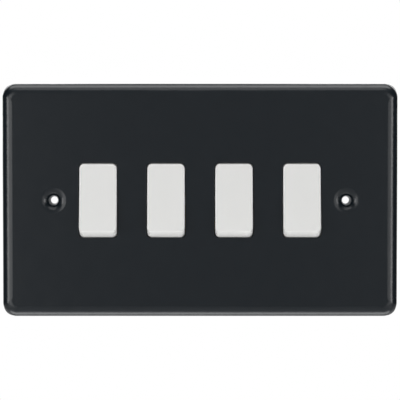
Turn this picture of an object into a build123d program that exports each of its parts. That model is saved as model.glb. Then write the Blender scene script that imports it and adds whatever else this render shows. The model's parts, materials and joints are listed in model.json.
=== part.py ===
from build123d import *
import math
import os

# Grid light switch with four rockers under one pressed front plate.
# Millimetres. The origin is the centre of the plate's rim on the wall plane.
# +X is to the right, +Z is up, and the front faces -Y.

# Front plate, pressed from one sheet with rolled edges
plate_width = 146.0
plate_height = 86.0
plate_depth = 5.0
plate_sheet = 1.0
plate_corner_r = 4.2
plate_face_corner_r = 8.0
plate_edge_r = 4.0
aperture_corner_r = 1.9
aperture_side_gap = 0.3
aperture_end_gap = 0.1
aperture_breakout = 0.3

# Screw seats of the front plate, where the sheet is pressed in for a countersunk head
plate_screw_spacing = 108.0
plate_screw_hole_r = 1.85
seat_lip_r = 4.8
seat_bend_r = 3.0
seat_angle = 50.0

# Modules in a row
module_count = 4
module_pitch = 25.0
module_width = 24.2
module_height = 46.0
module_corner_r = 1.2
module_wall = 1.4
module_edge = 0.5
cover_depth = 6.0

# Grid yoke, the folded steel frame that the modules snap into
yoke_width = 134.0
yoke_height = 60.0
yoke_sheet = 1.2
yoke_recess = 0.4
yoke_corner_r = 3.0
yoke_fold = 3.4
yoke_fold_r = 0.8
yoke_fold_end_gap = 2.0
window_gap = 0.2
window_corner_r = 1.4
tapped_r = 1.45
tapped_wall = 0.75
tapped_length = 2.5
box_screw_spacing = 120.6
box_slot_width = 4.0
box_slot_length = 6.0

# Rocker, which turns about an axis along X through its trunnions
rocker_width = 13.8
rocker_proud = 2.0
rocker_end_r = 14.4
rocker_face_r = 120.0
rocker_corner_r = 1.8
rocker_edge_r = 0.6
rocker_wall = 1.4
rocker_skirt = 1.2
rocker_half_travel = 8.0
pivot_ahead = 0.08
trunnion_r = 1.6
trunnion_seat = 1.5
trunnion_end_gap = 0.2
trunnion_ear_wall = 1.2
running_clearance = 0.05
stem_wall = 0.7
stem_rib = 1.0
moulded_root = 0.4

# Neck of the module cover, the frame round each rocker
neck_plate_gap = 0.2
neck_depth = 7.8
neck_wall_end = 1.6
neck_side_gap = 0.4
neck_end_gap = 0.3
neck_corner_r = 1.2
neck_edge = 0.3
bearing_skin = 0.5
flange_thickness = 1.6
hook_width = 6.0
hook_reach = 0.8
hook_nose = 0.3
hook_height = 1.1
hook_gap = 0.05

# Plunger and spring inside the rocker's stem
plunger_bore_r = 1.6
plunger_bore_start = -3.4
plunger_gap = 0.1
plunger_tip_r = 1.2
plunger_tip_centre = 6.0
plunger_show = 1.4
plunger_taper = 0.6
plunger_back = 1.6
spring_wire_r = 0.2
spring_end_gap = 0.05
spring_turns = 5

# See-saw contact, which rocks about a pin on the common terminal
fulcrum_pin_r = 0.7
fulcrum_height = 2.5
blade_face_offset = 1.5
blade_sheet = 0.7
blade_half_length = 11.8
blade_end_room = 1.0
blade_end_width = 4.4
blade_taper = 1.5
blade_ear_sheet = 0.6
blade_ear_gap = 0.3
blade_ear_length = 3.4
contact_height = 10.0
moving_tip_r = 1.5
moving_tip_height = 0.9
moving_tip_edge = 0.2
fixed_tip_r = 1.6
fixed_tip_dome_r = 5.0
contact_gap = 0.06
plunger_blade_gap = 0.08

# Brass terminals and the strips that lead from them
strip_sheet = 0.8
strip_width = 4.2
strip_margin = 0.2
wire_bore_r = 2.1
wire_floor = 1.8
wire_entry_gap = 0.5
wire_funnel = 0.5
terminal_wall = 1.4
terminal_thread = 3.0
terminal_length = 7.0
terminal_edge = 0.3
terminal_gap = 0.1
terminal_barrier = 3.8
entry_wall = 1.0
hold_down_width = 5.0
tongue_width = 4.6
tongue_sheet = 0.8
pin_overhang = 0.4

# Terminal screws and module rivets
screw_r = 1.4
screw_head_r = 2.5
screw_head_height = 1.6
screw_head_edge = 0.25
screw_slot_width = 0.8
screw_slot_depth = 0.8
screw_lift = 0.6
screw_sink = 0.2
screw_wire_gap = 0.2
screw_access_gap = 0.3
rivet_r = 1.1
rivet_gap = 0.05
rivet_head_r = 1.9
rivet_head_height = 0.7
rivet_recess = 0.1
rivet_boss_wall = 1.1
rivet_edge = 3.9

# Earth terminal, riveted to the yoke beside the last module
earth_side_gap = 4.4
earth_edge_distance = 11.0
earth_thread = 2.0
earth_shank_r = 1.5
earth_head_r = 2.4
earth_head_height = 0.8

# Depths, from the wall plane, that follow from the driving dimensions
plate_rear_y = plate_sheet - plate_depth
yoke_back_y = yoke_recess
yoke_front_y = yoke_back_y - yoke_sheet
split_y = yoke_back_y + cover_depth
neck_front_y = plate_rear_y + neck_plate_gap
neck_back_y = neck_front_y + neck_depth
pivot_y = yoke_back_y - pivot_ahead
fulcrum_y = pivot_y + plunger_tip_centre + plunger_tip_r + plunger_blade_gap + blade_face_offset
strip_front_y = fulcrum_y + fulcrum_height
strip_back_y = strip_front_y + strip_sheet
wire_depth = wire_floor + wire_bore_r
wire_y = strip_front_y + wire_depth
terminal_depth = wire_depth + wire_bore_r + terminal_thread
earth_depth = wire_depth + wire_bore_r + earth_thread
terminal_back_y = strip_front_y + terminal_depth
module_back_y = terminal_back_y + screw_lift + screw_head_height + screw_sink

# Widths and heights that follow from the driving dimensions
rocker_face_offset = plate_depth + pivot_y + rocker_proud
rocker_half_chord = math.sqrt(rocker_end_r**2 - rocker_face_offset**2)
rocker_hollow = rocker_face_r - math.sqrt(rocker_face_r**2 - rocker_half_chord**2)
fold_root_z = yoke_height / 2 - 2 * yoke_sheet
trunnion_end = rocker_width / 2 + neck_side_gap + trunnion_seat
neck_inner_width = rocker_width + 2 * neck_side_gap
neck_inner_height = 2 * (rocker_end_r + neck_end_gap)
neck_width = 2 * (trunnion_end + trunnion_end_gap + bearing_skin)
neck_height = neck_inner_height + 2 * neck_wall_end
window_width = neck_width + 2 * window_gap
window_height = neck_height + 2 * window_gap
cavity_half_height = blade_half_length + blade_end_room
terminal_width = 2 * (wire_bore_r + terminal_wall)
terminal_height = module_height / 2 - entry_wall - terminal_gap - terminal_length / 2
terminal_offset = (terminal_width + terminal_barrier) / 2 + terminal_gap
screw_thread_r = screw_r + running_clearance
module_xs = [(i - (module_count - 1) / 2) * module_pitch for i in range(module_count)]
earth_x = module_xs[-1] + module_width / 2 + earth_side_gap + terminal_width / 2
earth_z = yoke_height / 2 - earth_edge_distance
fold_half_width = earth_x - terminal_width / 2 - yoke_fold_end_gap

# Places in a module: line 1 at the top, line 2 and common at the bottom
line_1_place = (0, terminal_height)
line_2_place = (-terminal_offset, -terminal_height)
common_place = (terminal_offset, -terminal_height)
terminal_places = [line_1_place, line_2_place, common_place]
rivet_places = [(rivet_edge - module_width / 2, terminal_height), (0, -terminal_height)]


def block(x_range, y_range, z_range):
    """A box between two corners."""
    size = [hi - lo for lo, hi in (x_range, y_range, z_range)]
    middle = [(hi + lo) / 2 for lo, hi in (x_range, y_range, z_range)]
    return Pos(*middle) * Box(*size)


def slab(outline, y_front, y_back):
    """An outline drawn in X and Z, given depth from y_front to y_back."""
    return extrude(Plane.XZ.offset(-y_back) * outline, amount=y_back - y_front)


def side_slab(outline, half_width):
    """An outline drawn in Y and Z, given the same width to both sides."""
    return extrude(Plane.YZ.offset(-half_width) * outline, amount=2 * half_width)


def turned(lines):
    """A solid turned about the Y axis from an outline of radius and y."""
    return revolve(make_face(Curve() + lines), axis=Axis.Y)


def rod_along_x(radius, x_start, x_end):
    return Pos((x_start + x_end) / 2, 0, 0) * Rot(0, 90, 0) * Cylinder(radius, abs(x_end - x_start))


def rod_along_y(radius, y_start, y_end):
    return Pos(0, (y_start + y_end) / 2, 0) * Rot(90, 0, 0) * Cylinder(radius, y_end - y_start)


def rod_along_z(radius, z_start, z_end):
    return Pos(0, 0, (z_start + z_end) / 2) * Cylinder(radius, abs(z_end - z_start))


def in_rocker(shape):
    """Turn a shape drawn about the pivot, with the rocker level, to its rest position, off."""
    return Pos(0, pivot_y, 0) * Rot(-rocker_half_travel, 0, 0) * shape


def in_blade(shape):
    """Turn a shape drawn about the fulcrum, with the see-saw level, to its rest position."""
    return Pos(0, fulcrum_y, 0) * Rot(rocker_half_travel, 0, 0) * shape


def front_edges(solid):
    return solid.faces().sort_by(Axis.Y)[0].edges()


def rear_edges(solid):
    return solid.faces().sort_by(Axis.Y)[-1].edges()


def aperture_outline(grow):
    """The rocker's opening in the plate, as tall as the rocker's arc where it passes the sheet."""
    half = math.sqrt(rocker_end_r**2 - (pivot_y - plate_rear_y) ** 2) + aperture_end_gap + grow
    width = rocker_width + 2 * (aperture_side_gap + grow)
    return RectangleRounded(width, 2 * half, aperture_corner_r + grow)


def screw_seat():
    """The sheet's section round a screw hole, turned: a soft bend into a cone of even thickness."""
    lean = math.radians(seat_angle)
    centre = (seat_lip_r, seat_bend_r - plate_depth)

    def on_bend(radius, angle):
        return (centre[0] - radius * math.sin(angle), centre[1] - radius * math.cos(angle))

    def at_hole(point):
        return (plate_screw_hole_r, point[1] + (point[0] - plate_screw_hole_r) * math.tan(lean))

    inner_r = seat_bend_r - plate_sheet
    front, rear = on_bend(seat_bend_r, lean), on_bend(inner_r, lean)
    return turned([
        Line(on_bend(seat_bend_r, 0), on_bend(inner_r, 0)),
        ThreePointArc(on_bend(inner_r, 0), on_bend(inner_r, lean / 2), rear),
        Line(rear, at_hole(rear)),
        Line(at_hole(rear), at_hole(front)),
        Line(at_hole(front), front),
        ThreePointArc(front, on_bend(seat_bend_r, lean / 2), on_bend(seat_bend_r, 0)),
    ])


def pressed_form(inset, y_front):
    """One side of the pressed sheet as a block: corners rounder at the face than at the rim."""
    width, height = plate_width - 2 * inset, plate_height - 2 * inset
    form = loft([
        Plane.XZ * RectangleRounded(width, height, plate_corner_r - inset),
        Plane.XZ.offset(-y_front) * RectangleRounded(width, height, plate_face_corner_r - inset),
    ], ruled=True)
    return fillet(front_edges(form), plate_edge_r - inset)


def front_plate():
    plate = pressed_form(0, -plate_depth) - pressed_form(plate_sheet, plate_rear_y)
    for side in (-1, 1):
        place = Pos(side * plate_screw_spacing / 2, 0, 0)
        plate -= place * rod_along_y(seat_lip_r, -plate_depth, plate_rear_y)
        plate += place * screw_seat()
    for x in module_xs:
        breakout = loft([
            Plane.XZ.offset(aperture_breakout - plate_rear_y) * aperture_outline(0),
            Plane.XZ.offset(-plate_rear_y) * aperture_outline(aperture_breakout),
        ])
        plate -= Pos(x, 0, 0) * (slab(aperture_outline(0), -plate_depth, plate_rear_y) + breakout)
    return plate


def yoke_folds():
    """The stiffening folds along the top and bottom edges of the yoke."""
    outer_z = yoke_height / 2
    inner_z = outer_z - yoke_sheet
    outline = Polyline(
        (yoke_front_y, fold_root_z), (yoke_front_y, outer_z), (yoke_back_y + yoke_fold, outer_z),
        (yoke_back_y + yoke_fold, inner_z), (yoke_back_y, inner_z), (yoke_back_y, fold_root_z), close=True,
    )
    fold = side_slab(make_face(outline), fold_half_width)
    along = fold.edges().filter_by(Axis.X)
    outside = along.filter_by(lambda e: e.center().Y < yoke_back_y).sort_by(Axis.Z)[-1]
    inside = along.filter_by(lambda e: abs(e.center().Y - yoke_back_y) < 0.001).sort_by(Axis.Z)[-1]
    fold = fillet(outside, yoke_fold_r + yoke_sheet / 2)
    fold = fillet(fold.edges().filter_by(Axis.X).sort_by_distance(inside.center())[0], yoke_fold_r / 2)
    return fold


def grid_yoke():
    yoke = slab(RectangleRounded(yoke_width, yoke_height, yoke_corner_r), yoke_front_y, yoke_back_y)
    fold = yoke_folds()
    for side in (-1, 1):
        edge = sorted((side * fold_root_z, side * yoke_height / 2))
        yoke -= block((-fold_half_width, fold_half_width), (yoke_front_y, yoke_back_y), edge)
        yoke += fold if side > 0 else mirror(fold, about=Plane.XY)
    window = slab(RectangleRounded(window_width, window_height, window_corner_r), yoke_front_y, yoke_back_y)
    for x in module_xs:
        yoke -= Pos(x, 0, 0) * window
    collar_end = yoke_front_y + tapped_length
    slot = slab(SlotOverall(box_slot_length, box_slot_width), yoke_front_y, yoke_back_y)
    for side in (-1, 1):
        place = Pos(side * plate_screw_spacing / 2, 0, 0)
        yoke += place * rod_along_y(tapped_r + tapped_wall, yoke_back_y, collar_end)
        yoke -= place * rod_along_y(tapped_r, yoke_front_y, collar_end)
        yoke -= Pos(side * box_screw_spacing / 2, 0, 0) * slot
    return yoke - Pos(earth_x, 0, earth_z) * rod_along_y(earth_shank_r, yoke_front_y, yoke_back_y)


def rocker_outline(inset):
    """Side outline about the pivot: a hollowed face, and ends that are arcs about the pivot."""
    end_r = rocker_end_r - inset
    face = inset - rocker_face_offset
    chord = math.sqrt(end_r**2 - face**2)
    rear_z = math.sqrt(end_r**2 - rocker_skirt**2)
    return make_face(Curve() + [
        ThreePointArc((face, -chord), (face + rocker_hollow, 0), (face, chord)),
        ThreePointArc((face, chord), (0, end_r), (rocker_skirt, rear_z)),
        Line((rocker_skirt, rear_z), (rocker_skirt, -rear_z)),
        ThreePointArc((rocker_skirt, -rear_z), (0, -end_r), (face, -chord)),
    ])


def rocker():
    half = rocker_width / 2
    inner_half = half - rocker_wall
    body = side_slab(rocker_outline(0), half)
    arcs = body.edges().filter_by(GeomType.CIRCLE)
    body = fillet(arcs.filter_by(lambda e: abs(e.radius - rocker_end_r) < 0.01), rocker_corner_r)
    face = body.faces().filter_by(lambda f: abs(f.center().Z) < 0.01).sort_by(Axis.Y)[0]
    body = fillet(face.edges(), rocker_edge_r)
    body -= side_slab(rocker_outline(rocker_wall), inner_half)
    root_y = rocker_hollow + rocker_wall - rocker_face_offset - moulded_root
    stem_end = plunger_tip_centre - plunger_show
    body += rod_along_y(plunger_bore_r + stem_wall, root_y, stem_end)
    body += block((-inner_half, inner_half), (root_y, rocker_skirt), (-stem_rib / 2, stem_rib / 2))
    body -= rod_along_y(plunger_bore_r, plunger_bore_start, stem_end)
    for side in (-1, 1):
        body += rod_along_x(trunnion_r + trunnion_ear_wall, side * inner_half, side * half)
        body += rod_along_x(trunnion_r, side * inner_half, side * trunnion_end)
    return body


def plunger():
    r = plunger_bore_r - plunger_gap
    tip_start = plunger_tip_centre - plunger_taper
    tip_end = plunger_tip_centre + plunger_tip_r
    return turned([
        Polyline((0, tip_end), (0, plunger_back), (r, plunger_back), (r, tip_start),
                 (plunger_tip_r, plunger_tip_centre)),
        RadiusArc((plunger_tip_r, plunger_tip_centre), (0, tip_end), -plunger_tip_r),
    ])


def plunger_spring():
    """Round wire coiled between the bottom of the bore and the plunger."""
    end_room = spring_wire_r + spring_end_gap
    start = plunger_bore_start + end_room
    length = plunger_back - end_room - start
    coil_r = plunger_bore_r - plunger_gap - spring_wire_r
    path = Helix(pitch=length / spring_turns, height=length, radius=coil_r, direction=(0, 1, 0))
    wire = Plane(origin=path @ 0, z_dir=path % 0) * Circle(spring_wire_r)
    return Pos(0, start, 0) * sweep(wire, path=path)


def snap_hook():
    """The hook at the neck's top end, which snaps over the front of the yoke."""
    latch_y = yoke_front_y - hook_gap
    root_z = neck_height / 2 - moulded_root
    tip_z = neck_height / 2 + hook_reach
    outline = Polyline(
        (latch_y, root_z), (latch_y, tip_z), (latch_y - hook_nose, tip_z),
        (latch_y - hook_height, root_z), close=True,
    )
    return side_slab(make_face(outline), hook_width / 2)


def rivet_space(y_front, y_back):
    """What a rivet takes out of one shell: its hole, and the recesses of its two heads."""
    recess = rivet_head_height + rivet_recess
    recess_r = rivet_head_r + rivet_recess
    space = rod_along_y(rivet_r + rivet_gap, yoke_back_y, module_back_y)
    space += rod_along_y(recess_r, yoke_back_y, yoke_back_y + recess)
    space += rod_along_y(recess_r, module_back_y - recess, module_back_y)
    return space & block((-recess_r, recess_r), (y_front, y_back), (-recess_r, recess_r))


def module_cover():
    neck = slab(RectangleRounded(neck_width, neck_height, neck_corner_r), neck_front_y, neck_back_y)
    neck = chamfer(front_edges(neck), neck_edge)
    shell = slab(RectangleRounded(module_width, module_height, module_corner_r), yoke_back_y, split_y)
    hollow = Rectangle(module_width - 2 * module_wall, module_height - 2 * module_wall)
    shell -= slab(hollow, yoke_back_y + flange_thickness, split_y)
    cover = shell + neck
    for x, z in rivet_places:
        boss_r = rivet_r + rivet_gap + rivet_boss_wall
        cover += Pos(x, 0, z) * rod_along_y(boss_r, yoke_back_y, split_y)
    for x, z in terminal_places:
        post = slab(Rectangle(hold_down_width, hold_down_width), yoke_back_y, strip_front_y - terminal_gap)
        cover += Pos(x, 0, z) * post
    well = RectangleRounded(neck_inner_width, neck_inner_height, rocker_corner_r + neck_end_gap)
    cover -= slab(well, neck_front_y, neck_back_y)
    bearing_end = trunnion_end + trunnion_end_gap
    cover -= Pos(0, pivot_y, 0) * rod_along_x(trunnion_r + running_clearance, -bearing_end, bearing_end)
    for x, z in rivet_places:
        cover -= Pos(x, 0, z) * rivet_space(yoke_back_y, split_y)
    hook = snap_hook()
    return cover + hook + mirror(hook, about=Plane.XY)


def wire_entry():
    """The hole for a wire in an end wall, widening to the outside, along +Z."""
    end = module_height / 2
    radius = wire_bore_r + wire_entry_gap
    mouth = Pos(0, 0, end - wire_funnel / 2) * Cone(radius, radius + wire_funnel, wire_funnel)
    return Pos(0, wire_y, 0) * (rod_along_z(radius, terminal_height, end) + mouth)


def module_base():
    base = slab(RectangleRounded(module_width, module_height, module_corner_r), split_y, module_back_y)
    base = chamfer(rear_edges(base), module_edge)
    cavity = Rectangle(module_width - 2 * module_wall, 2 * cavity_half_height)
    base -= slab(cavity, split_y, strip_back_y)
    pocket = Rectangle(terminal_width + 2 * terminal_gap, terminal_length + 2 * terminal_gap)
    pocket = slab(pocket, split_y, terminal_back_y + terminal_gap)
    channel_half = strip_width / 2 + terminal_gap
    access = rod_along_y(screw_head_r + screw_access_gap, terminal_back_y, module_back_y)
    entry = wire_entry()
    for x, z in terminal_places:
        place = Pos(x, 0, z)
        base -= place * (pocket + access)
        end = sorted((math.copysign(blade_half_length, z), z))
        base -= block((x - channel_half, x + channel_half), (split_y, strip_back_y), end)
        base -= Pos(x, 0, 0) * (entry if z > 0 else mirror(entry, about=Plane.XY))
    for x, z in rivet_places:
        base -= Pos(x, 0, z) * rivet_space(split_y, module_back_y)
    return base


def terminal_block(depth):
    """A brass block with a wire bore along Z and a tapped hole from behind, front face at y 0."""
    half = terminal_width / 2
    body = block((-half, half), (0, depth), (-terminal_length / 2, terminal_length / 2))
    body = chamfer(body.edges(), terminal_edge)
    body -= Pos(0, wire_depth, 0) * rod_along_z(wire_bore_r, -terminal_length / 2, terminal_length / 2)
    return body - rod_along_y(screw_thread_r, wire_depth, depth)


def terminal_with_strip(place, *points):
    """A terminal block at its place, with a strip cut to an outline of X and Z under it."""
    x, z = place
    body = Pos(x, strip_front_y, z) * terminal_block(terminal_depth)
    return body + slab(make_face(Polyline(*points, close=True)), strip_front_y, strip_back_y)


def line_1_terminal():
    half = strip_width / 2
    near = contact_height - fixed_tip_r - strip_margin
    return terminal_with_strip(
        line_1_place, (-half, near), (half, near), (half, terminal_height), (-half, terminal_height)
    )


def line_2_terminal():
    half = strip_width / 2
    x, z = line_2_place
    near = fixed_tip_r + strip_margin - contact_height
    far = near - 2 * (fixed_tip_r + strip_margin)
    return terminal_with_strip(
        line_2_place, (x - half, z), (x + half, z), (x + half, far), (half, far), (half, near), (x - half, near)
    )


def common_terminal():
    half = strip_width / 2
    tongue_half = tongue_width / 2
    x, z = common_place
    body = terminal_with_strip(
        common_place, (x - half, z), (x + half, z), (x + half, half),
        (-tongue_half, half), (-tongue_half, -half), (x - half, -half),
    )
    body += block(
        (-tongue_half, tongue_half), (fulcrum_y, strip_front_y), (-tongue_sheet / 2, tongue_sheet / 2)
    )
    pin_half = tongue_half + blade_ear_gap + blade_ear_sheet + pin_overhang
    return body + Pos(0, fulcrum_y, 0) * rod_along_x(fulcrum_pin_r, -pin_half, pin_half)


def blade_outline():
    """Half of the see-saw's outline, mirrored below: a narrow arm and a wide middle for the ears."""
    wide = tongue_width / 2 + blade_ear_gap + blade_ear_sheet
    middle = blade_ear_length / 2
    narrow = blade_end_width / 2
    upper = make_face(Polyline(
        (-wide, 0), (-wide, middle), (-narrow, middle + blade_taper), (-narrow, blade_half_length),
        (narrow, blade_half_length), (narrow, middle + blade_taper), (wide, middle), (wide, 0), close=True,
    ))
    return upper + mirror(upper, about=Plane.XZ)


def moving_contact():
    """The see-saw about its fulcrum, with an ear folded back on each side of the terminal's tongue."""
    inner = tongue_width / 2 + blade_ear_gap
    outer = inner + blade_ear_sheet
    middle = blade_ear_length / 2
    blade = slab(blade_outline(), -blade_face_offset, blade_sheet - blade_face_offset)
    for side in (-1, 1):
        sides = sorted((side * inner, side * outer))
        blade += block(sides, (-blade_face_offset, 0), (-middle, middle))
        blade += rod_along_x(middle, side * inner, side * outer)
    return blade - rod_along_x(fulcrum_pin_r + running_clearance, -outer, outer)


def moving_tips():
    front = blade_sheet - blade_face_offset
    tip = rod_along_y(moving_tip_r, front, front + moving_tip_height)
    tip = chamfer(rear_edges(tip), moving_tip_edge)
    return [Pos(0, 0, z) * tip for z in (-contact_height, contact_height)]


def fixed_tips():
    """Domed contacts whose crowns clear the moving tips by the contact gap when closed."""
    turn = math.radians(rocker_half_travel)
    height = contact_height * math.cos(turn)
    moving_face = blade_sheet - blade_face_offset + moving_tip_height
    reach = fixed_tip_dome_r + contact_gap + moving_face + height * math.sin(turn)
    centre_y = fulcrum_y + reach / math.cos(turn)
    crown_y = centre_y - fixed_tip_dome_r
    shoulder_y = centre_y - math.sqrt(fixed_tip_dome_r**2 - fixed_tip_r**2)
    tip = turned([
        Polyline((0, crown_y), (0, strip_front_y), (fixed_tip_r, strip_front_y), (fixed_tip_r, shoulder_y)),
        RadiusArc((fixed_tip_r, shoulder_y), (0, crown_y), fixed_tip_dome_r),
    ])
    return [Pos(0, 0, z) * tip for z in (-height, height)]


def clamp_screw(block_front_y, depth):
    """A cheese-head screw backed out of a terminal block's wire bore, with a slot in its head."""
    tip_y = block_front_y + wire_depth + wire_bore_r + screw_wire_gap
    head_y = block_front_y + depth + screw_lift
    top_y = head_y + screw_head_height
    body = rod_along_y(screw_r, tip_y, head_y) + rod_along_y(screw_head_r, head_y, top_y)
    body = chamfer(rear_edges(body), screw_head_edge)
    half = screw_slot_width / 2
    return body - block((-screw_head_r, screw_head_r), (top_y - screw_slot_depth, top_y), (-half, half))


def rivet():
    front = yoke_back_y + rivet_recess
    back = module_back_y - rivet_recess
    body = rod_along_y(rivet_r, front, back)
    body += rod_along_y(rivet_head_r, front, front + rivet_head_height)
    return body + rod_along_y(rivet_head_r, back - rivet_head_height, back)


def earth_terminal():
    body = Pos(0, yoke_back_y, 0) * terminal_block(earth_depth)
    body += rod_along_y(earth_shank_r, yoke_front_y, yoke_back_y)
    body += rod_along_y(earth_head_r, yoke_front_y - earth_head_height, yoke_front_y)
    return Pos(earth_x, 0, earth_z) * body


def save(node, shape):
    export_step(shape, f"parts/{node}.step")


def save_frame():
    """Write the plate, the yoke and what is fixed to it."""
    save("front_plate", front_plate())
    save("grid_yoke", grid_yoke())
    save("earth_terminal", earth_terminal())
    save("earth_screw", Pos(earth_x, 0, earth_z) * clamp_screw(yoke_back_y, earth_depth))


def save_modules():
    """Write the pieces of each switch module, at its place in the row."""
    tips = [in_blade(tip) for tip in moving_tips()]
    pieces = {
        "rocker": in_rocker(rocker()),
        "plunger": in_rocker(plunger()),
        "plunger_spring": in_rocker(plunger_spring()),
        "module_cover": module_cover(),
        "module_base": module_base(),
        "moving_contact": in_blade(moving_contact()),
        "common_terminal": common_terminal(),
        "line_1_terminal": line_1_terminal(),
        "line_2_terminal": line_2_terminal(),
    }
    for number, x in enumerate(module_xs, start=1):
        for name, piece in pieces.items():
            save(f"{name}_{number}", Pos(x, 0, 0) * piece)
        save(f"moving_tips_{number}", Compound([Pos(x, 0, 0) * tip for tip in tips]))


def save_small_parts():
    """Write the like small pieces of all modules, each kind as one group."""
    clamp = clamp_screw(strip_front_y, terminal_depth)
    pin = rivet()
    tips = fixed_tips()
    screws = [Pos(x + dx, 0, z) * clamp for x in module_xs for dx, z in terminal_places]
    rivets = [Pos(x + dx, 0, z) * pin for x in module_xs for dx, z in rivet_places]
    save("terminal_screws", Compound(screws))
    save("module_rivets", Compound(rivets))
    save("fixed_tips", Compound([Pos(x, 0, 0) * tip for x in module_xs for tip in tips]))


os.makedirs("parts", exist_ok=True)
save_frame()
save_modules()
save_small_parts()
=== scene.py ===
import bmesh
import bpy
import json
import math
from mathutils import Matrix, Vector


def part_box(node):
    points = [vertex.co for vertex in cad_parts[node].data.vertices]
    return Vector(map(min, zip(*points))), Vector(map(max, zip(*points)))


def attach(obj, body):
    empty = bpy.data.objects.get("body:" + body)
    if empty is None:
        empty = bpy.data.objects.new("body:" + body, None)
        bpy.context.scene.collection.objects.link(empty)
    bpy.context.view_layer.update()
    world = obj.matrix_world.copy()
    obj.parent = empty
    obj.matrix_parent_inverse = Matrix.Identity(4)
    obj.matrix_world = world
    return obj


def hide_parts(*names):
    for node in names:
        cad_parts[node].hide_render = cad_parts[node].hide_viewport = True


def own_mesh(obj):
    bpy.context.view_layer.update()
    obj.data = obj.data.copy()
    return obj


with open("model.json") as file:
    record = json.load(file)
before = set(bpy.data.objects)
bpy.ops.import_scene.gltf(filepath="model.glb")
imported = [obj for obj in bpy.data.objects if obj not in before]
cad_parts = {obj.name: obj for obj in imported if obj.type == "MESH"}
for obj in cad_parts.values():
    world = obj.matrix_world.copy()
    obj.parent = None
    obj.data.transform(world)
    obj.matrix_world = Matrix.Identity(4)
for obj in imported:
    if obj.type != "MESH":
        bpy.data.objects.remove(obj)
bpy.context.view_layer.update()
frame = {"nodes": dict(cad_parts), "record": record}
mounts = {mount["name"]: mount for mount in frame["record"]["mounts"]}

# Grid light switch: a matt black pressed plate with four white rockers.
# Metres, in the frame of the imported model: +X right, +Z up, the front faces -Y.
MM = 0.001
WHITE = (1.0, 1.0, 1.0, 1.0)
MODULES = (1, 2, 3, 4)
ZINC_FAMILIES = ("terminal_screws", "earth_screw", "module_rivets")
BRASS_FAMILIES = (
    "common_terminal", "line_1_terminal", "line_2_terminal", "earth_terminal",
    "moving_contact", "plunger",
)

# Camera, in front of the plate and a little above its middle
CAMERA_DISTANCE = 0.600
CAMERA_HEIGHT = 0.020
VIEW_WIDTH = 0.1483
SENSOR_WIDTH = 36.0

# Thread in the yoke's two tapped collars
COLLAR_LENGTH = 2.5 * MM
THREAD_PITCH = 0.6 * MM
THREAD_WIDTH = 0.54 * MM
THREAD_HEIGHT = 0.10 * MM
THREAD_STEPS = 32

# Printed marks and moulding rings on the backs of the modules
TERMINAL_MARKS = {"line_1_wire": "L1", "line_2_wire": "L2", "common_wire": "COM"}
MARK_SIZE = 2.6 * MM
MARK_HEIGHT = 0.10 * MM
MARK_GAP = 4.8 * MM
LETTER_STEPS = 4
TOP_MARK_HEIGHT = 6.2 * MM
ARROW_HEIGHT = 9.0 * MM
ARROW_SIZE = 1.1 * MM
PIN_MARK_ASIDE = 7.5 * MM
PIN_MARK_ALONG = 7.0 * MM
PIN_MARK_RADIUS = 1.25 * MM
PIN_MARK_WIDTH = 0.25 * MM
PIN_MARK_HEIGHT = 0.10 * MM
RING_STEPS = 48

# Earth sign, printed on the yoke's rear face below the terminal
EARTH_SIGN_DROP = 9.6 * MM
EARTH_SIGN_RADIUS = 2.1 * MM
EARTH_SIGN_LINE = 0.28 * MM
EARTH_SIGN_STEM = 1.45 * MM
EARTH_SIGN_BARS = (2.3 * MM, 1.6 * MM, 0.85 * MM)
EARTH_SIGN_HEIGHT = 0.08 * MM
YOKE_REAR = 0.4 * MM

# How far a mark sits into its face, how near vertices merge, and how a word turns to be read
# from behind
SINK = 0.02 * MM
WELD = 0.001 * MM
FACING_REAR = Matrix(((-1, 0, 0, 0), (0, 0, 1, 0), (0, 1, 0, 0), (0, 0, 0, 1)))

# Room: how bright it is in front, at the sides and behind, and where in a direction's own X or Y
# each of them starts and is full
FRONT_FILL = 0.32
SIDE_FILL = 0.04
BACK_FILL = 0.28
BACK_START, BACK_FULL = -0.5, 0.1
SIDE_START, SIDE_FULL = 0.45, 0.75
MIRRORED_START, MIRRORED_FULL = 0.80, 0.95

# Floor, whose glow for the camera fades to white from one share of its radius to another
FLOOR_HEIGHT = -0.30
FLOOR_RADIUS = 1.2
FLOOR_STEPS = 96
FLOOR_GLOW = 0.6
FADE_START, FADE_END = 0.3, 0.9


def add_node(tree, kind, inputs=None, **settings):
    """Add a shader node, with its settings and its inputs, each a value or another node's output."""
    made = tree.nodes.new(kind)
    for name, value in settings.items():
        setattr(made, name, value)
    for name, value in (inputs or {}).items():
        if isinstance(value, bpy.types.NodeSocket):
            tree.links.new(value, made.inputs[name])
        else:
            made.inputs[name].default_value = value
    return made


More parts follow.
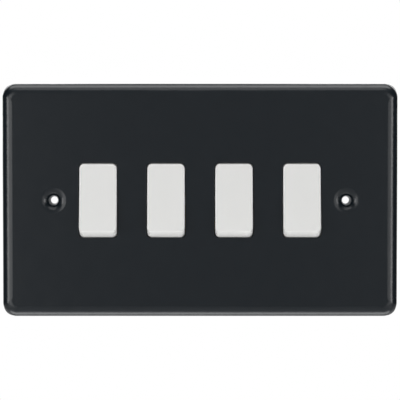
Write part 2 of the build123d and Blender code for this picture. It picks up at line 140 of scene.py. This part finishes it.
class Finish:
    """A material made of nodes, with one Principled shader."""

    def __init__(self, name, color, roughness, metallic=0.0):
        self.material = bpy.data.materials.new(name)
        self.material.use_nodes = True
        self.tree = self.material.node_tree
        self.shader = self.tree.nodes["Principled BSDF"]
        self.coords = self.node("ShaderNodeTexCoord").outputs["Object"]
        self.set("Base Color", (*color, 1.0))
        self.set("Roughness", roughness)
        self.set("Metallic", metallic)

    def set(self, socket, value):
        self.shader.inputs[socket].default_value = value

    def node(self, kind, inputs=None, **settings):
        return add_node(self.tree, kind, inputs, **settings)

    def noise(self, size, detail=2.0, stretch=(1.0, 1.0, 1.0)):
        """Noise whose features measure about size metres, longer along an axis by its stretch."""
        scale = [1 / (size * s) for s in stretch]
        place = self.node("ShaderNodeMapping", {"Vector": self.coords, "Scale": scale})
        made = self.node(
            "ShaderNodeTexNoise", {"Vector": place.outputs["Vector"], "Scale": 1.0, "Detail": detail}
        )
        return made.outputs["Fac"]

    def between(self, factor, low, high, start=0.3, end=0.7):
        """A factor's middle range spread from low to high."""
        made = self.node(
            "ShaderNodeMapRange",
            {"Value": factor, "From Min": start, "From Max": end, "To Min": low, "To Max": high},
        )
        return made.outputs["Result"]

    def vary_color(self, factor, dark, light):
        ramp = self.node("ShaderNodeMix", {"Factor": factor}, data_type="RGBA")
        ramp.inputs["A"].default_value = (*dark, 1.0)
        ramp.inputs["B"].default_value = (*light, 1.0)
        self.tree.links.new(ramp.outputs["Result"], self.shader.inputs["Base Color"])

    def vary_roughness(self, factor, low, high):
        self.tree.links.new(self.between(factor, low, high), self.shader.inputs["Roughness"])

    def bump(self, height, distance, strength=1.0):
        made = self.node(
            "ShaderNodeBump", {"Height": height, "Distance": distance, "Strength": strength}
        )
        self.tree.links.new(made.outputs["Normal"], self.shader.inputs["Normal"])


def powder_coat():
    """Matt black coat with a fine orange peel."""
    finish = Finish("matt_black_coat", (0.0050, 0.0086, 0.0122), 0.25)
    finish.vary_roughness(finish.noise(4 * MM), 0.23, 0.27)
    finish.bump(finish.noise(0.25 * MM, detail=3.0), 0.004 * MM)
    return finish.material


def rocker_plastic():
    """White satin moulding."""
    finish = Finish("white_satin_moulding", (0.835, 0.835, 0.82), 0.21)
    finish.vary_roughness(finish.noise(3 * MM), 0.18, 0.24)
    finish.bump(finish.noise(0.3 * MM, detail=3.0), 0.002 * MM)
    return finish.material


def body_plastic(name, color):
    """Moulding with the fine spark texture of its tool."""
    finish = Finish(name, color, 0.55)
    finish.vary_roughness(finish.noise(5 * MM), 0.5, 0.62)
    finish.bump(finish.noise(0.35 * MM, detail=4.0), 0.012 * MM)
    return finish.material


def zinc_plate():
    """Bright zinc over rolled steel, with a faint blue and straw cast."""
    finish = Finish("bright_zinc_plate", (0.56, 0.57, 0.59), 0.34, metallic=1.0)
    finish.vary_color(finish.noise(9 * MM), (0.47, 0.51, 0.56), (0.62, 0.61, 0.58))
    grain = finish.noise(0.2 * MM, detail=3.0, stretch=(14.0, 14.0, 1.0))
    finish.vary_roughness(grain, 0.27, 0.42)
    finish.bump(grain, 0.005 * MM)
    return finish.material


def marking_ink():
    """Dark grey ink, a little worn."""
    finish = Finish("marking_ink", (0.050, 0.055, 0.060), 0.5)
    finish.vary_color(finish.noise(0.5 * MM, detail=3.0), (0.035, 0.040, 0.045), (0.085, 0.090, 0.095))
    finish.vary_roughness(finish.noise(1 * MM), 0.42, 0.58)
    return finish.material


def machined_metal(name, dark, light, roughness, mark=0.12 * MM):
    """Bare metal with the fine lines of its machining."""
    finish = Finish(name, dark, roughness, metallic=1.0)
    finish.vary_color(finish.noise(2.5 * MM), dark, light)
    lines = finish.noise(mark, detail=2.0, stretch=(1.0, 12.0, 1.0))
    finish.vary_roughness(lines, roughness - 0.07, roughness + 0.07)
    finish.bump(lines, 0.002 * MM)
    return finish.material


FINISHES = {
    "front_plate": powder_coat(),
    "rocker": rocker_plastic(),
    "module_cover": body_plastic("white_moulding", (0.78, 0.78, 0.76)),
    "module_base": body_plastic("pale_grey_moulding", (0.60, 0.61, 0.60)),
    "grid_yoke": zinc_plate(),
}
for family in ZINC_FAMILIES:
    FINISHES[family] = FINISHES["grid_yoke"]
brass = machined_metal("machined_brass", (0.74, 0.54, 0.24), (0.82, 0.62, 0.30), 0.28)
for family in BRASS_FAMILIES:
    FINISHES[family] = brass
FINISHES["plunger_spring"] = machined_metal(
    "drawn_spring_wire", (0.48, 0.48, 0.50), (0.56, 0.56, 0.57), 0.25
)
FINISHES["marks"] = marking_ink()
FINISHES["pin_marks"] = body_plastic("worn_grey_moulding", (0.47, 0.48, 0.47))
FINISHES["moving_tips"] = FINISHES["fixed_tips"] = machined_metal(
    "silver_contact", (0.86, 0.86, 0.84), (0.93, 0.92, 0.90), 0.22
)


def dress(nodes):
    """Give each CAD node the finish of its family."""
    for name, node in nodes.items():
        family = name.rstrip("0123456789").rstrip("_")
        material = FINISHES[name if name in FINISHES else family]
        for slot in node.material_slots:
            slot.material = material


def add_piece(name, shape, material, body="switch_frame"):
    """Make a bmesh a piece that moves with a body."""
    bmesh.ops.remove_doubles(shape, verts=shape.verts, dist=WELD)
    bmesh.ops.recalc_face_normals(shape, faces=shape.faces)
    mesh = bpy.data.meshes.new(name)
    shape.to_mesh(mesh)
    shape.free()
    mesh.materials.append(material)
    piece = bpy.data.objects.new(name, mesh)
    bpy.context.scene.collection.objects.link(piece)
    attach(piece, body)
    return piece


def plunger_coil(number):
    """A plunger's spring, copied from its CAD node into its own piece that moves with its rocker."""
    node = frame["nodes"][f"plunger_spring_{number}"]
    shape = bmesh.new()
    shape.from_mesh(node.data)
    coil = add_piece(
        f"plunger_coil_{number}", shape, FINISHES["plunger_spring"],
        body=f"rocker_body_{number}",
    )
    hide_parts(node.name)
    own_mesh(coil)


def closed_loop(shape, points):
    """A closed line through points, as the vertices and edges that a spin takes."""
    corners = [shape.verts.new(point) for point in points]
    sides = [shape.edges.new((a, b)) for a, b in zip(corners, corners[1:] + corners[:1])]
    return corners + sides


def collar_thread(name, side):
    """The thread of one tapped collar: a ridge wound along the wall of its bore."""
    bore = mounts["yoke_screw_threads"]["dims"]
    x = side * bore["spacing_x_mm"] * MM / 2
    wall = bore["hole_r_mm"] * MM
    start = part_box("grid_yoke")[0][1]
    shape = bmesh.new()
    ridge = closed_loop(shape, [
        (x + wall + SINK, start, 0),
        (x + wall - THREAD_HEIGHT, start + THREAD_WIDTH / 2, 0),
        (x + wall + SINK, start + THREAD_WIDTH, 0),
    ])
    turns = (COLLAR_LENGTH - THREAD_WIDTH) / THREAD_PITCH
    steps = round(turns * THREAD_STEPS)
    bmesh.ops.spin(
        shape, geom=ridge, cent=(x, 0, 0), axis=(0, 1, 0), angle=2 * math.pi * turns,
        dvec=(0, turns * THREAD_PITCH / steps, 0), steps=steps,
    )
    bmesh.ops.holes_fill(shape, edges=shape.edges, sides=3)
    add_piece(name, shape, FINISHES["grid_yoke"])


def add_word(shape, word, place):
    """A raised word on a face that looks to +Y, upright when it is read from behind."""
    letters = bpy.data.curves.new(word, "FONT")
    letters.body = word
    letters.size = MARK_SIZE
    letters.extrude = MARK_HEIGHT
    letters.resolution_u = LETTER_STEPS
    letters.align_x = "CENTER"
    letters.align_y = "CENTER"
    holder = bpy.data.objects.new(word, letters)
    mesh = bpy.data.meshes.new_from_object(holder)
    mesh.transform(Matrix.Translation(place) @ FACING_REAR)
    shape.from_mesh(mesh)
    bpy.data.objects.remove(holder)
    bpy.data.curves.remove(letters)
    bpy.data.meshes.remove(mesh)


def add_ring(shape, place, radius, width, height):
    """A raised ring on a face that looks to +Y."""
    x, y, z = place
    section = closed_loop(shape, [
        (x + radius, y - SINK, z), (x + radius + width, y - SINK, z),
        (x + radius + width, y + height, z), (x + radius, y + height, z),
    ])
    bmesh.ops.spin(
        shape, geom=section, cent=place, axis=(0, 1, 0), angle=2 * math.pi, steps=RING_STEPS,
        use_merge=True,
    )


def add_bar(shape, place, width, length, height):
    """A raised bar on a face that looks to +Y, as wide along X and long along Z as given."""
    thick = height + SINK
    middle = Vector(place) + Vector((0, (height - SINK) / 2, 0))
    spread = Matrix.Diagonal((width, thick, length, 1))
    bmesh.ops.create_cube(shape, size=1, matrix=Matrix.Translation(middle) @ spread)


def module_marks(number):
    """On a module's back: its terminals by name, which end is up, and the rings of the mould's pins."""
    box_low, box_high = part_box(f"module_base_{number}")
    x, back = (box_low[0] + box_high[0]) / 2, box_high[1]
    shape = bmesh.new()
    for wire, word in TERMINAL_MARKS.items():
        wire_x, _, wire_z = mounts[f"{wire}_{number}"]["pos_m"]
        add_word(shape, word, (wire_x, back, wire_z - math.copysign(MARK_GAP, wire_z)))
    add_word(shape, "TOP", (x, back, TOP_MARK_HEIGHT))
    bmesh.ops.create_cone(
        shape, cap_ends=True, segments=3, radius1=ARROW_SIZE, radius2=ARROW_SIZE, depth=2 * MARK_HEIGHT,
        matrix=Matrix.Translation((x, back, ARROW_HEIGHT)) @ FACING_REAR,
    )
    add_piece(f"module_marks_{number}", shape, FINISHES["marks"])
    shape = bmesh.new()
    for aside in (-PIN_MARK_ASIDE, PIN_MARK_ASIDE):
        for along in (-PIN_MARK_ALONG, PIN_MARK_ALONG):
            place = (x + aside, back, along)
            add_ring(shape, place, PIN_MARK_RADIUS, PIN_MARK_WIDTH, PIN_MARK_HEIGHT)
    add_piece(f"pin_marks_{number}", shape, FINISHES["pin_marks"])


def earth_sign():
    """The earth sign, on the yoke below its terminal: three bars under a stem, in a ring."""
    x, _, terminal_z = mounts["earth_wire"]["pos_m"]
    z = terminal_z - EARTH_SIGN_DROP
    radius, line, stem = EARTH_SIGN_RADIUS, EARTH_SIGN_LINE, EARTH_SIGN_STEM
    shape = bmesh.new()
    add_ring(shape, (x, YOKE_REAR, z), radius - line, line, EARTH_SIGN_HEIGHT)
    add_bar(shape, (x, YOKE_REAR, z + stem / 2), line, stem, EARTH_SIGN_HEIGHT)
    for row, width in enumerate(EARTH_SIGN_BARS):
        add_bar(shape, (x, YOKE_REAR, z - row * 2 * line), width, line, EARTH_SIGN_HEIGHT)
    add_piece("earth_sign", shape, FINISHES["marks"])


def studio_world():
    """A dim white room, darkest at the sides. The camera sees it as plain white, and so does gloss
    that looks straight behind the switch."""
    world = bpy.data.worlds.new("studio")
    bpy.context.scene.world = world
    world.use_nodes = True
    tree = world.node_tree

    def ramp(value, start, full, low=0.0, high=1.0):
        made = add_node(
            tree, "ShaderNodeMapRange",
            {"Value": value, "From Min": start, "From Max": full, "To Min": low, "To Max": high},
            interpolation_type="SMOOTHSTEP",
        )
        return made.outputs["Result"]

    def math_node(operation, *values):
        made = add_node(tree, "ShaderNodeMath", dict(enumerate(values)), operation=operation)
        return made.outputs["Value"]

    direction = add_node(tree, "ShaderNodeTexCoord").outputs["Generated"]
    axes = add_node(tree, "ShaderNodeSeparateXYZ", {"Vector": direction}).outputs
    rear = ramp(axes["Y"], BACK_START, BACK_FULL, FRONT_FILL, BACK_FILL)
    side = ramp(math_node("ABSOLUTE", axes["X"]), SIDE_START, SIDE_FULL)
    level = add_node(tree, "ShaderNodeMix", {"Factor": side, "A": rear, "B": SIDE_FILL})
    room = tree.nodes["Background"]
    room.inputs["Color"].default_value = WHITE
    tree.links.new(level.outputs["Result"], room.inputs["Strength"])
    white = add_node(tree, "ShaderNodeBackground", {"Color": WHITE, "Strength": 1.0})
    rays = add_node(tree, "ShaderNodeLightPath").outputs
    bounced = math_node("ADD", rays["Is Glossy Ray"], rays["Is Transmission Ray"])
    mirrored = math_node("MULTIPLY", bounced, ramp(axes["Y"], MIRRORED_START, MIRRORED_FULL))
    seen = math_node("ADD", rays["Is Camera Ray"], mirrored)
    backgrounds = {"Fac": seen, 1: room.outputs["Background"], 2: white.outputs["Background"]}
    mixed = add_node(tree, "ShaderNodeMixShader", backgrounds).outputs["Shader"]
    tree.links.new(mixed, tree.nodes["World Output"].inputs["Surface"])


def softbox(name, place, width, height, radiance):
    """A flat light that faces the middle of the switch, as bright as its radiance from every side."""
    light = bpy.data.lights.new(name, "AREA")
    light.shape = "RECTANGLE"
    light.size = width
    light.size_y = height
    light.energy = radiance * math.pi * width * height
    holder = bpy.data.objects.new(name, light)
    bpy.context.scene.collection.objects.link(holder)
    holder.visible_camera = False
    holder.location = place
    holder.rotation_mode = "QUATERNION"
    holder.rotation_quaternion = Vector(place).to_track_quat("Z", "Y")


def around(angle, distance, height=0.0):
    """A place at an angle to the right of the camera's side, seen from above."""
    turn = math.radians(angle)
    return (distance * math.sin(turn), -distance * math.cos(turn), height)


def studio_lights():
    """Each lamp by its place, width, height and radiance."""
    softbox("softbox_left", around(-58, 0.80), 0.26, 0.36, 4.7)
    softbox("softbox_right", around(56, 0.80), 0.24, 0.36, 4.8)
    softbox("fill_left", around(-34, 0.90), 0.46, 0.60, 1.9)
    softbox("fill_right", around(34, 0.90), 0.36, 0.60, 1.2)
    softbox("strip_above", (0.0, 0.018, 0.28), 0.50, 0.16, 2.65)
    softbox("strip_below", (0.0, 0.018, -0.28), 0.50, 0.16, 2.65)
    softbox("fill_above", (0.0, -0.40, 0.70), 0.70, 0.26, 1.4)
    softbox("rear_left", (-0.30, 0.85, 0.26), 0.40, 0.50, 1.7)
    softbox("rear_right", (0.30, 0.85, 0.26), 0.40, 0.50, 1.4)


def studio_floor():
    """A pale disc under the switch, which fades to white for the camera and is clear from below."""
    mesh = bpy.data.meshes.new("studio_floor")
    floor = bpy.data.objects.new("studio_floor", mesh)
    bpy.context.scene.collection.objects.link(floor)
    shape = bmesh.new()
    bmesh.ops.create_circle(shape, cap_ends=True, segments=FLOOR_STEPS, radius=FLOOR_RADIUS)
    bmesh.ops.translate(shape, verts=shape.verts, vec=(0, 0, FLOOR_HEIGHT))
    shape.to_mesh(mesh)
    shape.free()
    finish = Finish("pale_floor", (0.76, 0.76, 0.76), 0.8)
    seen = finish.node("ShaderNodeLightPath").outputs["Is Camera Ray"]
    shrink = (1 / FLOOR_RADIUS, 1 / FLOOR_RADIUS, 0)
    flat = finish.node("ShaderNodeMapping", {"Vector": finish.coords, "Scale": shrink}).outputs["Vector"]
    out = finish.node("ShaderNodeVectorMath", {0: flat}, operation="LENGTH").outputs["Value"]
    level = finish.between(out, FLOOR_GLOW, 1.0, start=FADE_START, end=FADE_END)
    glow = finish.node("ShaderNodeMath", {0: seen, 1: level}, operation="MULTIPLY").outputs["Value"]
    finish.set("Emission Color", WHITE)
    finish.tree.links.new(glow, finish.shader.inputs["Emission Strength"])
    below = finish.node("ShaderNodeNewGeometry").outputs["Backfacing"]
    clear = finish.node("ShaderNodeBsdfTransparent").outputs["BSDF"]
    solid = finish.shader.outputs["BSDF"]
    sided = finish.node("ShaderNodeMixShader", {"Fac": below, 1: solid, 2: clear}).outputs["Shader"]
    finish.tree.links.new(sided, finish.tree.nodes["Material Output"].inputs["Surface"])
    mesh.materials.append(finish.material)


def camera():
    """A long lens in front of the plate, aimed at its middle."""
    lens = bpy.data.cameras.new("camera")
    lens.sensor_width = SENSOR_WIDTH
    lens.lens = SENSOR_WIDTH * CAMERA_DISTANCE / VIEW_WIDTH
    holder = bpy.data.objects.new("camera", lens)
    bpy.context.scene.collection.objects.link(holder)
    place = Vector((0.0, -CAMERA_DISTANCE, CAMERA_HEIGHT))
    holder.location = place
    holder.rotation_mode = "QUATERNION"
    holder.rotation_quaternion = place.to_track_quat("Z", "Y")
    bpy.context.scene.camera = holder


dress(frame["nodes"])
collar_thread("yoke_thread_left", -1)
collar_thread("yoke_thread_right", 1)
for number in MODULES:
    plunger_coil(number)
    module_marks(number)
earth_sign()
studio_world()
studio_lights()
studio_floor()
camera()
bpy.context.scene.view_settings.view_transform = "Standard"
